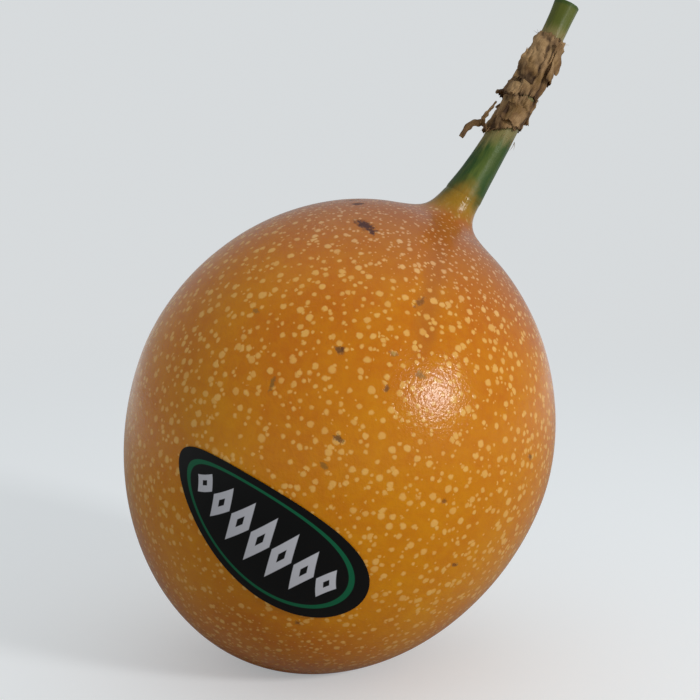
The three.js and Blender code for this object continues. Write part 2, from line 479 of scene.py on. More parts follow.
def evaluate(
    name: str, graph: Graph, keys: dict[str, str], sizes: dict[str, float], base: bpy.types.Mesh | None = None
) -> bpy.types.Mesh:
    """Runs a tree on a throwaway object and returns its result as a plain mesh.

    Args:
        name: The mesh's name.
        graph: The tree.
        keys: The inputs' identifiers.
        sizes: The inputs' values.
        base: The mesh that the tree starts from, if it needs one.

    Returns:
        The mesh.
    """
    start = base or bpy.data.meshes.new(name + "_start")
    holder = bpy.data.objects.new(name + "_holder", start)
    bpy.context.scene.collection.objects.link(holder)
    modifier = holder.modifiers.new("shape", "NODES")
    modifier.node_group = graph.tree
    for label, value in sizes.items():
        modifier[keys[label]] = value
    view = bpy.context.evaluated_depsgraph_get()
    made = bpy.data.meshes.new_from_object(holder.evaluated_get(view))
    bpy.data.objects.remove(holder)
    made.name = name
    return made


def add_piece(
    name: str, mesh: bpy.types.Mesh, replaced: Iterable[str], material: bpy.types.Material
) -> bpy.types.Object:
    """Puts a finished mesh in the scene as a piece that rides on the fruit.

    Args:
        name: The piece's name.
        mesh: Its mesh, in place.
        replaced: The CAD nodes that it stands for.
        material: Its finish.

    Returns:
        The piece.
    """
    piece = bpy.data.objects.new(name, mesh)
    bpy.context.scene.collection.objects.link(piece)
    if not mesh.materials:
        mesh.materials.append(material)
    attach(piece, BODY)
    if replaced:
        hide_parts(*replaced)
    LOG.info("%s: %d vertices", name, len(mesh.vertices))
    return piece


# ---- Shared finish effects ----------------------------------------------------------------


def own_place(graph: Graph, plan: Plan) -> Wire:
    """Returns the shaded point in the fruit's own frame, in millimetres.

    Args:
        graph: The material's graph.
        plan: Gives the frame's placement.
    """
    back = plan.matrix().inverted()
    spot = graph.wire("ShaderNodeTexCoord", out="Object")
    plugs = {
        "Vector": spot,
        "Rotation": back.to_euler("XYZ")[:],
        "Location": (back.translation / MM)[:],
        "Scale": (1 / MM,) * 3,
    }
    return graph.wire("ShaderNodeMapping", plugs)


def flecks_group() -> bpy.types.NodeTree:
    """Returns the group that scatters round, soft-edged flecks of random size."""

    def wiring(graph: Graph, ins: dict[str, Wire]) -> dict[str, Wire]:
        warp = graph.wire(
            "ShaderNodeTexNoise", {"Vector": ins["Place"], "Scale": 1.3, "Detail": 2}, out="Color"
        ).vector_math("SUBTRACT", (0.5, 0.5, 0.5))
        bent = ins["Place"].vector_math("ADD", warp.scaled(ins["Raggedness"]))
        cell = graph.node(
            "ShaderNodeTexVoronoi", {"Vector": bent, "Scale": 1 / ins["Spacing"], "Randomness": 0.9}
        )
        draw, lightness, chance = Wire(graph.tree, cell.outputs["Color"]).parts()
        away = bent.vector_math("SUBTRACT", Wire(graph.tree, cell.outputs["Position"]))
        depth_x, depth_y, depth_z = away.vector_math("MULTIPLY", ins["Outward"]).parts()
        deep = depth_x + depth_y + depth_z
        beside = away.vector_math("SUBTRACT", ins["Outward"].scaled(deep)).length()
        near = 1 - (deep.math("ABSOLUTE") / ins["Spacing"]).ramp(0.40, 0.54)
        kept = chance.math("LESS_THAN", ins["Share"]) * near
        reach = (ins["Smallest"] + (ins["Largest"] - ins["Smallest"]) * draw ** 1.4) * kept
        edge = (reach * ins["Growth"] - beside) / ins["Softness"]
        return {"Mask": edge.clamped() * (0.74 + 0.26 * lightness)}

    inputs = {
        "Place": (TRIPLE, None),
        "Outward": (TRIPLE, None),
        "Spacing": (NUMBER, 2.0),
        "Smallest": (NUMBER, 0.2),
        "Largest": (NUMBER, 0.6),
        "Growth": (NUMBER, 1.0),
        "Share": (NUMBER, 1.0),
        "Softness": (NUMBER, 0.2),
        "Raggedness": (NUMBER, 0.4),
    }
    return shared_group("flecks", inputs, {"Mask": NUMBER}, wiring)


def blemish_group() -> bpy.types.NodeTree:
    """Returns the group that marks one scar: an uneven oval round a centre."""

    def wiring(graph: Graph, ins: dict[str, Wire]) -> dict[str, Wire]:
        off = ins["Place"].vector_math("SUBTRACT", ins["Centre"])
        turned = graph.wire(
            "ShaderNodeVectorRotate", {"Vector": off, "Rotation": ins["Turn"]}, rotation_type="EULER_XYZ"
        )
        oval = turned.vector_math("DIVIDE", ins["Size"]).length()
        ragged = graph.cloud(ins["Place"], 0.5, 4, 0.7) - 0.5
        uneven = oval + ragged * 2.4
        return {"Mask": 1 - uneven.ramp(0.35, 1.05)}

    inputs = {
        "Place": (TRIPLE, None),
        "Centre": (TRIPLE, (0, 0, 0)),
        "Turn": (TRIPLE, (0, 0, 0)),
        "Size": (TRIPLE, (1, 1, 1)),
    }
    return shared_group("blemish", inputs, {"Mask": NUMBER}, wiring)


def mottling_group() -> bpy.types.NodeTree:
    """Returns the group that varies a surface in broad, soft patches."""

    def wiring(graph: Graph, ins: dict[str, Wire]) -> dict[str, Wire]:
        plugs = {"Vector": ins["Place"], "Scale": 1 / ins["Patch"], "Detail": 4, "Roughness": 0.55}
        lumps = graph.wire("ShaderNodeTexNoise", plugs)
        spread = 0.5 / ins["Contrast"]
        return {"Mask": lumps.ramp(0.5 - spread, 0.5 + spread)}

    inputs = {"Place": (TRIPLE, None), "Patch": (NUMBER, 10.0), "Contrast": (NUMBER, 3.0)}
    return shared_group("mottling", inputs, {"Mask": NUMBER}, wiring)


def fibres_group() -> bpy.types.NodeTree:
    """Returns the group that draws lengthwise fibres along the fruit's axis."""

    def wiring(graph: Graph, ins: dict[str, Wire]) -> dict[str, Wire]:
        x, y, z = ins["Place"].parts()
        drawn = graph.vector(x - z * ins["Slant"], y, z / ins["Stretch"])
        plugs = {"Vector": drawn, "Scale": 1 / ins["Width"], "Detail": 4, "Roughness": 0.6}
        return {"Mask": graph.wire("ShaderNodeTexNoise", plugs)}

    inputs = {
        "Place": (TRIPLE, None),
        "Width": (NUMBER, 0.4),
        "Stretch": (NUMBER, 12.0),
        "Slant": (NUMBER, 0.12),
    }
    return shared_group("fibres", inputs, {"Mask": NUMBER}, wiring)


def use_group(graph: Graph, group: bpy.types.NodeTree, plugs: dict[str, object]) -> Wire:
    """Places a shared group and returns its mask.

    Args:
        graph: The material's graph.
        group: The shared group.
        plugs: What to link or set, by input name.
    """
    made = graph.node("ShaderNodeGroup", node_tree=group)
    for name, value in plugs.items():
        feed(graph.tree, made.inputs[name], value)
    return Wire(graph.tree, made.outputs["Mask"])


def new_material(name: str) -> tuple[bpy.types.Material, Graph, bpy.types.Node]:
    """Starts a material.

    Args:
        name: Its name.

    Returns:
        The material, its graph and its Principled shader.
    """
    material = bpy.data.materials.new(name)
    material.use_nodes = True
    graph = Graph(material.node_tree)
    return material, graph, material.node_tree.nodes["Principled BSDF"]


def dress(
    graph: Graph, shader: bpy.types.Node, colour: Wire, roughness: Wire, relief: Wire, depth: float
) -> None:
    """Links a finish's varying parts to its shader.

    Args:
        graph: The material's graph.
        shader: The Principled shader.
        colour: Base colour.
        roughness: Roughness.
        relief: Height of the fine relief, from 0 to 1.
        depth: The relief's depth, in metres.
    """
    bump = graph.wire("ShaderNodeBump", {"Height": relief, "Distance": depth, "Strength": 1.0})
    feed(graph.tree, shader.inputs["Base Color"], colour)
    feed(graph.tree, shader.inputs["Roughness"], roughness)
    feed(graph.tree, shader.inputs["Normal"], bump)


# ---- Finishes -----------------------------------------------------------------------------


class ScarTint(Enum):
    """The colours of healed marks on the rind."""

    DARK = (0.070, 0.017, 0.013)
    BROWN = (0.16, 0.062, 0.012)
    MOSSY = (0.15, 0.10, 0.022)


@dataclass(frozen=True)
class Blemish:
    """One scar or speck on the rind.

    Attributes:
        azimuth: Round the fruit's axis, from +X, in degrees.
        height: Above the widest ring, in millimetres.
        length: Long diameter, in millimetres.
        width: Short diameter, in millimetres.
        slant: How far its length rises towards +azimuth, in degrees.
        strength: How dark it is, from 0 to 1.
        tint: Its colour.
    """

    azimuth: float
    height: float
    length: float
    width: float
    slant: float
    strength: float
    tint: ScarTint


BLEMISHES = (
    Blemish(-113.6, 27.8, 4.6, 1.7, -14, 1.0, ScarTint.DARK),
    Blemish(-108.4, 27.2, 1.6, 1.0, -50, 1.0, ScarTint.DARK),
    Blemish(-135.0, 31.0, 1.8, 1.2, 20, 0.9, ScarTint.DARK),
    Blemish(-148.7, 31.6, 1.4, 0.9, 48, 0.8, ScarTint.DARK),
    Blemish(-109.5, 3.1, 2.5, 0.8, -83, 0.65, ScarTint.MOSSY),
    Blemish(-98.0, 10.4, 1.8, 1.0, -24, 0.9, ScarTint.BROWN),
    Blemish(-97.4, 10.6, 0.9, 0.8, 60, 0.8, ScarTint.DARK),
    Blemish(-85.1, 12.5, 1.5, 0.9, -3, 0.50, ScarTint.MOSSY),
    Blemish(-83.9, 8.0, 1.2, 0.9, 59, 0.8, ScarTint.BROWN),
    Blemish(-90.2, -0.2, 1.8, 1.1, -12, 0.9, ScarTint.BROWN),
    Blemish(-91.1, -4.1, 1.6, 0.8, -28, 0.58, ScarTint.MOSSY),
    Blemish(-82.1, 20.3, 2.7, 1.0, 55, 0.7, ScarTint.BROWN),
    Blemish(-76.7, 11.2, 1.9, 1.2, -14, 0.58, ScarTint.MOSSY),
    Blemish(-123.2, 11.1, 1.4, 0.8, -12, 0.50, ScarTint.MOSSY),
    Blemish(-35.1, 6.3, 1.6, 0.9, -17, 0.7, ScarTint.BROWN),
    Blemish(-46.5, -10.9, 1.2, 0.8, 0, 0.8, ScarTint.BROWN),
    Blemish(-80.3, -25.9, 1.2, 0.9, 0, 0.7, ScarTint.BROWN),
    Blemish(-60.0, -3.0, 1.0, 0.8, 30, 0.7, ScarTint.BROWN),
    Blemish(35.0, 14.0, 2.6, 1.2, 35, 0.9, ScarTint.BROWN),
    Blemish(92.0, -6.0, 1.4, 0.8, -20, 0.58, ScarTint.MOSSY),
    Blemish(118.0, 16.0, 3.6, 1.3, -35, 0.9, ScarTint.DARK),
    Blemish(140.0, -12.0, 1.5, 0.9, 10, 0.8, ScarTint.BROWN),
    Blemish(170.0, 20.0, 1.8, 1.2, 60, 0.8, ScarTint.BROWN),
    Blemish(10.0, -14.0, 1.4, 0.8, 60, 0.58, ScarTint.MOSSY),
)


@dataclass(frozen=True)
class RindFinish:
    """Smooth waxy orange rind with pale flecks, turning green at the neck's top; the crown carries painted
    sheen and shade, and the groove and the base painted shade.
    """

    plan: Plan
    deep: Colour = (0.54, 0.134, 0.0012)
    bright: Colour = (0.71, 0.285, 0.0006)
    fleck: Colour = (0.82, 0.44, 0.10)
    pink_fleck: Colour = (0.76, 0.44, 0.215)
    # Dusky colour: on the crown partly the rind's own tone and partly painted sheen and shade; along the
    # groove painted shade.
    flush: Colour = (0.36, 0.100, 0.018)
    groove_azimuth: float = -79.0

    def build(self) -> bpy.types.Material:
        """Returns the material."""
        material, graph, shader = new_material("rind")
        place = own_place(graph, self.plan)
        height = place.parts()[2]
        broad = use_group(graph, mottling_group(), {"Place": place, "Patch": 14.0, "Contrast": 2.2})
        fine = use_group(graph, mottling_group(), {"Place": place, "Patch": 1.6, "Contrast": 2.0})
        # A brighter band over the lower half; at the very bottom the rind falls back to the deep colour,
        # which is painted shade at the base.
        low = (1 - height.ramp(-18, 22)) * height.ramp(-36, -18)
        ground = graph.blend(broad * 0.35 + fine * 0.25 + low * 0.4, self.deep, self.bright)
        # Towards the neck the rind turns dusky: partly its own tone, partly painted sheen and shade.
        ground = graph.blend(height.ramp(17, 34) * 0.8, ground, self.flush)
        # Painted shade along the groove that runs down from the neck.
        ground = graph.blend(self.groove(graph, place, height), ground, self.flush)
        flecks = self.flecks(graph, place, height)
        skin = graph.blend(flecks, ground, graph.blend(height.ramp(18, 31), self.fleck, self.pink_fleck))
        neck = (height + (graph.cloud(place, 1.2) - 0.5) * 2.6).ramp(33.8, 37.4)
        # The neck takes the stem's bark colour, with its painted sheen and painted shade.
        bark, ribbing = StemFinish(self.plan).bark(graph, place)
        skin = graph.blend(neck, skin, bark)
        scars = 0.0
        for tint in ScarTint:
            marks = self.scars(graph, place, tint)
            skin = graph.blend(marks, skin, tint.value)
            scars = marks + scars
        grain = graph.cloud(place, 0.42, 2, 0.6)
        lumps = graph.cloud(place, 2.6, 2, 0.5)
        relief = grain * 0.6 + lumps * 0.3 + flecks * 0.15 - scars * 0.5 + ribbing * neck * 0.4
        roughness = 0.14 + 0.12 * grain + 0.25 * scars
        dress(graph, shader, skin, roughness, relief, 0.10 * MM)
        shader.inputs["Specular IOR Level"].default_value = 0.28
        shader.inputs["Subsurface Weight"].default_value = 0.06
        shader.inputs["Subsurface Radius"].default_value = (1.0, 0.35, 0.1)
        shader.inputs["Subsurface Scale"].default_value = 1.2 * MM
        return material

    def flecks(self, graph: Graph, place: Wire, height: Wire) -> Wire:
        """Returns the mask of the pale flecks, in three sizes.

        Args:
            graph: The material's graph.
            place: The shaded point, in the fruit's own frame.
            height: Its height.
        """
        near_stem = height.ramp(20, 33)
        near_tip = 1 - height.ramp(-36, -14)
        clumps = graph.cloud(place, 7.0, 2) * 0.4 + 0.82
        large_growth = (1 - 0.45 * near_stem) * (1 - 0.15 * near_tip) * clumps
        ends = height.ramp(14, 28).math("MAXIMUM", near_tip)
        layers = (
            (1.80, 0.35, 0.62, large_growth, 1.0, 0.21, 0.50),
            (1.60, 0.18, 0.40, 1 - 0.3 * near_stem, 0.7, 0.17, 0.35),
            (1.15, 0.15, 0.30, ends, 0.8, 0.15, 0.25),
        )
        outward = place.vector_math("MULTIPLY", (1.0, 1.0, 0.8)).vector_math("NORMALIZE")
        mask = None
        for number, (spacing, smallest, largest, growth, share, softness, ragged) in enumerate(layers):
            shifted = place.vector_math("ADD", (37.0 * number, 11.0 * number, 5.0 * number))
            plugs = {
                "Place": shifted,
                "Outward": outward,
                "Spacing": spacing,
                "Smallest": smallest,
                "Largest": largest,
                "Growth": growth,
                "Share": share,
                "Softness": softness,
                "Raggedness": ragged,
            }
            layer = use_group(graph, flecks_group(), plugs)
            mask = layer if mask is None else mask.math("MAXIMUM", layer)
        return mask

    def groove(self, graph: Graph, place: Wire, height: Wire) -> Wire:
        """Returns the mask of the painted shade along the groove that runs down from the neck.

        Args:
            graph: The material's graph.
            place: The shaded point, in the fruit's own frame.
            height: Its height.
        """
        x, y, _ = place.parts()
        azimuth = self.groove_azimuth * DEG
        off = x * -math.sin(azimuth) + y * math.cos(azimuth)
        drift = (graph.cloud(place, 5.0, 3) - 0.5) * 4.0
        near = 1 - (off + drift).math("ABSOLUTE").ramp(0.3, 2.2)
        front = (x * math.cos(azimuth) + y * math.sin(azimuth)).ramp(2, 6)
        return near * front * height.ramp(9, 18) * (1 - height.ramp(33, 35)) * 0.4

    def scars(self, graph: Graph, place: Wire, tint: ScarTint) -> Wire:
        """Returns the mask of the scars and specks of one colour.

        Args:
            graph: The material's graph.
            place: The shaded point, in the fruit's own frame.
            tint: Their colour.
        """
        mask = None
        for blemish in (mark for mark in BLEMISHES if mark.tint is tint):
            azimuth = blemish.azimuth * DEG
            centre = self.plan.egg.spot(azimuth, blemish.height * MM) / MM
            turn = Matrix.Rotation(-blemish.slant * DEG, 3, "X") @ Matrix.Rotation(-azimuth, 3, "Z")
            plugs = {
                "Place": place,
                "Centre": centre[:],
                "Turn": turn.to_euler("XYZ")[:],
                "Size": (2.0, blemish.length / 2, blemish.width / 2),
            }
            spot = use_group(graph, blemish_group(), plugs) * blemish.strength
            mask = spot if mask is None else mask.math("MAXIMUM", spot)
        return mask


@dataclass(frozen=True)
class StemFinish:
    """Fresh green bark with fine ribs, a painted sheen down its middle and painted shade at its sides, ochre
    at the foot and pale at the cut end.
    """

    plan: Plan
    # dark and light are shaded and lit copies of the bark's green: painted shade at the stem's sides, painted
    # sheen down its middle. dark also darkens the cut end.
    dark: Colour = (0.016, 0.062, 0.008)
    light: Colour = (0.115, 0.165, 0.022)
    ochre: Colour = (0.35, 0.185, 0.012)
    straw: Colour = (0.45, 0.28, 0.06)
    papery: Colour = (0.33, 0.25, 0.10)
    olive: Colour = (0.105, 0.115, 0.010)

    def build(self) -> bpy.types.Material:
        """Returns the material."""
        material, graph, shader = new_material("green_stem")
        place = own_place(graph, self.plan)
        bark, relief = self.bark(graph, place)
        height = place.parts()[2]
        path = self.plan.stem()
        cut = height.ramp(path.end.z / MM - 0.9, path.end.z / MM - 0.3)
        bark = graph.blend(cut * 0.6, bark, self.dark)
        dress(graph, shader, bark, 0.36 + 0.15 * relief, relief, 0.08 * MM)
        shader.inputs["Specular IOR Level"].default_value = 0.3
        return material

    def bark(self, graph: Graph, place: Wire) -> tuple[Wire, Wire]:
        """Returns the bark's colour, ochre at its foot, with a painted sheen down its middle and painted
        shade at its sides, and its relief.

        Args:
            graph: The material's graph.
            place: The shaded point, in the fruit's own frame.
        """
        x, y, height = place.parts()
        fibre = use_group(graph, fibres_group(), {"Place": place, "Width": 0.5, "Stretch": 9.0})
        broad = use_group(graph, mottling_group(), {"Place": place, "Patch": 3.0, "Contrast": 3.0})
        # Painted sheen: a light stripe just right of the stem's middle, fading to painted shade at both
        # sides, mixed with pale fibre streaks.
        middle = self.middle(x, height)
        band = (middle - 0.3 + (fibre - 0.5) * 2.2).math("ABSOLUTE")
        painted_sheen_and_fibres = (1 - band.ramp(0.2, 1.6)) * 0.55 + fibre.ramp(0.4, 0.75) * 0.35
        bark = graph.blend(painted_sheen_and_fibres, self.dark, self.light)
        bark = graph.blend(broad * 0.25, bark, self.olive)
        bark = graph.blend(height.ramp(50, 64) * 0.75, bark, self.olive)
        facing = 1 - (middle + 0.25).math("ABSOLUTE").ramp(0.4, 2.9)
        front = facing * (y * -1).ramp(-0.6, 0.6)
        drift = height + (graph.cloud(place, 1.3, 3) - 0.5) * 2.4 + (fibre - 0.5) * 2.0 - front * 2.2
        green = drift.ramp(35.6, 40.4)
        foot = graph.blend(fibre.ramp(0.45, 0.75) * 0.5, self.ochre, self.straw)
        bark = graph.blend(green, foot, bark)
        under = (height + (fibre - 0.5) * 4.0 - middle * 0.5).ramp(46.5, 49.5)
        above = 1 - (height + (fibre - 0.5) * 3.0).ramp(66.0, 68.4)
        bark = graph.blend(under * above * 0.6, bark, self.papery)
        return bark, fibre * 0.7 + graph.cloud(place, 0.4) * 0.3

    def middle(self, x: Wire, height: Wire) -> Wire:
        """Returns how far a point lies to the right of the stem's middle, in millimetres.

        Args:
            x: The point's first coordinate.
            height: Its height.
        """
        path = self.plan.stem()
        low, high = path.point(0.0), path.point(0.5)
        slope = (high.x - low.x) / (high.z - low.z)
        return x - low.x / MM - (height - low.z / MM) * slope


@dataclass(frozen=True)
class DryFinish:
    """Dry brown bract tissue, crumpled and fibrous, with painted shade where it dips in and under its lower
    edges.
    """

    plan: Plan
    pale: Colour = (0.47, 0.30, 0.145)
    brown: Colour = (0.19, 0.103, 0.032)
    rust: Colour = (0.095, 0.038, 0.013)
    # dark is the colour of the painted shade in the tissue's dips.
    dark: Colour = (0.040, 0.018, 0.008)

    def build(self) -> bpy.types.Material:
        """Returns the material."""
        material, graph, shader = new_material("dry_bract")
        place = own_place(graph, self.plan)
        fibre = use_group(
            graph, fibres_group(), {"Place": place, "Width": 0.34, "Stretch": 6.0, "Slant": 0.3}
        )
        patches = use_group(graph, mottling_group(), {"Place": place, "Patch": 3.4, "Contrast": 5.0})
        stains = use_group(graph, mottling_group(), {"Place": place, "Patch": 1.7, "Contrast": 6.0})
        tissue = graph.blend(patches * 0.65 + fibre.ramp(0.35, 0.7) * 0.35, self.brown, self.pale)
        tissue = graph.blend(stains * (1 - patches * 0.6) * 0.75, tissue, self.rust)
        # Painted shade in the dips, read from the per-point values that the sheets carry.
        painted_hollow_shades = graph.wire("ShaderNodeAttribute", {}, out="Fac", attribute_name="hollow")
        tissue = graph.blend(painted_hollow_shades * 0.85, tissue, self.dark)
        relief = fibre * 0.5 + graph.cloud(place, 0.45, 4, 0.65) * 0.5
        dress(graph, shader, tissue, 0.62 + 0.25 * fibre, relief, 0.09 * MM)
        shader.inputs["Specular IOR Level"].default_value = 0.25
        return material


class PrintInk(Enum):
    """The colours on the label."""

    FILM = (0.0012, 0.0014, 0.0014)
    GREEN = (0.003, 0.115, 0.048)
    GREY = (0.56, 0.56, 0.60)


@dataclass(frozen=True)
class FilmFinish:
    """Black film, printed with a green ring and a row of pale lozenges.

    The print follows the UV map, which holds millimetres from the label's middle.
    """

    ring_share: float = 0.84
    ring_width: float = 0.03
    pitch: float = 3.5
    tallest: float = 4.3
    row_half: float = 12.25

    def build(self, half_length: float, half_width: float, taper: float) -> bpy.types.Material:
        """Returns the material.

        Args:
            half_length: Of the label, in millimetres.
            half_width: Of the label at its middle, in millimetres.
            taper: How the width grows to the right.
        """
        material, graph, shader = new_material("printed_film")
        x, y, _ = graph.wire("ShaderNodeUVMap", uv_map="print").parts()
        grown = 1 + (x / half_length) * taper
        level = graph.vector(x / half_length, y / (grown * half_width), 0).length()
        ring = 1 - (level - self.ring_share).math("ABSOLUTE").ramp(
            self.ring_width * 0.75, self.ring_width
        )
        slot = (x / self.pitch + 0.5).math("FRACT") - 0.5
        tall = self.tallest * grown * (1 - (x / (self.row_half * 1.25)) ** 2)
        lozenge = slot.math("ABSOLUTE") * 2.2 + y.math("ABSOLUTE") / tall
        within = 1 - x.math("ABSOLUTE").ramp(self.row_half - 0.02, self.row_half)
        outer = (1 - lozenge.ramp(0.93, 1.0)) * within
        inner = (1 - lozenge.ramp(0.26, 0.32)) * within
        ink = graph.blend(ring, PrintInk.FILM.value, PrintInk.GREEN.value)
        ink = graph.blend(outer, ink, PrintInk.GREY.value)
        ink = graph.blend(inner, ink, PrintInk.FILM.value)
        place = graph.wire("ShaderNodeTexCoord", out="Object")
        haze = graph.cloud(place, 2.2 * MM, 3)
        dress(graph, shader, ink, 0.26 + 0.12 * haze, haze, 0.03 * MM)
        shader.inputs["Specular IOR Level"].default_value = 0.2
        return material


# ---- The fruit ----------------------------------------------------------------------------


@dataclass
class FruitBody:
    """The egg-shaped fruit with its neck, flattened where it rests."""

    plan: Plan
    segments: int = 300
    rings: int = 300
    cap_share: float = 0.02
    neck_share: float = 0.14
    settle: float = 0.25 * MM
    unevenness: float = 0.35 * MM
    seam_depth: float = 0.3 * MM
    seam_azimuth: float = -79 * DEG
    tuck: float = 0.015

    def sizes(self) -> dict[str, float]:
        """Returns the tree's named inputs."""
        egg, neck = self.plan.egg, self.plan.neck
        named = {f"Egg {item.name}": getattr(egg, item.name) for item in fields(egg)}
        named |= {f"Neck {item.name}": getattr(neck, item.name) for item in fields(neck)}
        named["Neck centre"] = neck.top(egg).length - neck.height
        named["Cap share"] = self.cap_share
        named["Neck share"] = self.neck_share
        named["Unevenness"] = self.unevenness
        named["Seam depth"] = self.seam_depth
        named["Seam azimuth"] = self.seam_azimuth
        named["Tuck"] = self.tuck
        named["Settle"] = self.settle
        return named

    def build(self, material: bpy.types.Material) -> bpy.types.Mesh:
        """Returns the fruit's mesh, in place."""
        sizes = self.sizes()
        graph, ins, keys = shape_tree("egg", sizes)
        ball = graph.wire(
            "GeometryNodeMeshUVSphere", {"Segments": self.segments, "Rings": self.rings, "Radius": 1.0}
        )
        spot = graph.wire("GeometryNodeInputPosition")
        x, y, z = spot.parts()
        heading = y.math("ARCTAN2", x)
        share = z.math("MINIMUM", 1).math("MAXIMUM", -1).math("ARCCOSINE") / math.pi
        cap = (share / ins["Cap share"]).clamped()
        climb = ((share - ins["Cap share"]) / (ins["Neck share"] - ins["Cap share"])).clamped()
        fall = ((share - ins["Neck share"]) / (1 - ins["Neck share"])).clamped()
        rise = ins["Neck height"] * (1 - climb) ** 2
        width = ins["Neck core"] + ins["Neck spread"] / (rise + ins["Neck foot"])
        width = width * (1 - ins["Tuck"] * (rise / ins["Neck height"]).ramp(0.86, 1.0))
        narrow = (width / (ins["Neck centre"] + rise)).math("ARCSINE") * cap
        angle = narrow + (math.pi - narrow) * fall
        across = angle.math("SINE")
        level = angle.math("COSINE")
        side = across * heading.math("COSINE")
        tilt_cos, tilt_sin = ins["Neck tilt"].math("COSINE"), ins["Neck tilt"].math("SINE")
        aim_x = side * tilt_cos + level * tilt_sin
        aim_y = across * heading.math("SINE")
        aim_z = level * tilt_cos - side * tilt_sin
        reach = self.reach(graph, ins, aim_x, aim_y, aim_z)
        faded = rise * rise / (rise + ins["Neck fade"])
        length = reach + faded
        sway = ins["Neck sway"] * (rise / ins["Neck height"]) ** 2
        moved = graph.vector(aim_x * length + sway, aim_y * length, aim_z * length)
        shaped = graph.wire("GeometryNodeSetPosition", {"Geometry": ball, "Position": moved})
        placed = self.settle_down(graph, ins, shaped)
        end_tree(graph, placed, material)
        return evaluate("fruit_skin", graph, keys, sizes)

    def reach(self, graph: Graph, ins: dict[str, Wire], x: Wire, y: Wire, z: Wire) -> Wire:
        """Returns the distance from the centre to the skin.

        Args:
            graph: The tree.
            ins: Its inputs.
            x: First part of the direction.
            y: Second part of the direction.
            z: Third part of the direction.
        """
        ring = (x * x + y * y).math("SQRT")
        crown = z.math("GREATER_THAN", 0)
        base = 1 - crown
        height = ins["Egg crown_height"] * crown + ins["Egg base_height"] * base
        fullness = ins["Egg crown_fullness"] * crown + ins["Egg base_fullness"] * base
        total = (ring / ins["Egg radius"]) ** fullness + (z.math("ABSOLUTE") / height) ** fullness
        turn = y.math("ARCTAN2", x)
        lobe = (turn * 3).math("COSINE") * ring * ring
        body = total ** (-1 / fullness) * (1 + ins["Egg lobe_share"] * lobe)
        aim = graph.vector(x, y, z)
        uneven = (graph.cloud(aim, 0.8, 2, 0.4) - 0.5) * ins["Unevenness"] * ring
        seam = (((turn - ins["Seam azimuth"]) * 3).math("COSINE") * 0.5 + 0.5) ** 40
        seam = seam * z.ramp(0.25, 0.6) * (1 - z.ramp(0.86, 0.96)) * ins["Seam depth"]
        return body + uneven - seam

    def settle_down(self, graph: Graph, ins: dict[str, Wire], shape: Wire) -> Wire:
        """Returns the shape leaned into place, with its flat spot on the floor.

        Args:
            graph: The tree.
            ins: Its inputs.
            shape: The geometry, in its own frame.
        """
        matrix = self.plan.matrix()
        plugs = {
            "Geometry": shape,
            "Translation": matrix.translation[:],
            "Rotation": matrix.to_euler("XYZ")[:],
        }
        leaned = graph.wire("GeometryNodeTransform", plugs)
        x, y, z = graph.wire("GeometryNodeInputPosition").parts()
        level = z.math("SMOOTH_MAX", 0.0, ins["Settle"])
        moved = graph.vector(x, y, level)
        return graph.wire("GeometryNodeSetPosition", {"Geometry": leaned, "Position": moved})

    def dress(self) -> bpy.types.Object:
        """Builds the fruit, dresses it and adds it."""
        material = RindFinish(self.plan).build()
        return add_piece("fruit_skin", self.build(material), ["fruit"], material)


# ---- The stem -----------------------------------------------------------------------------


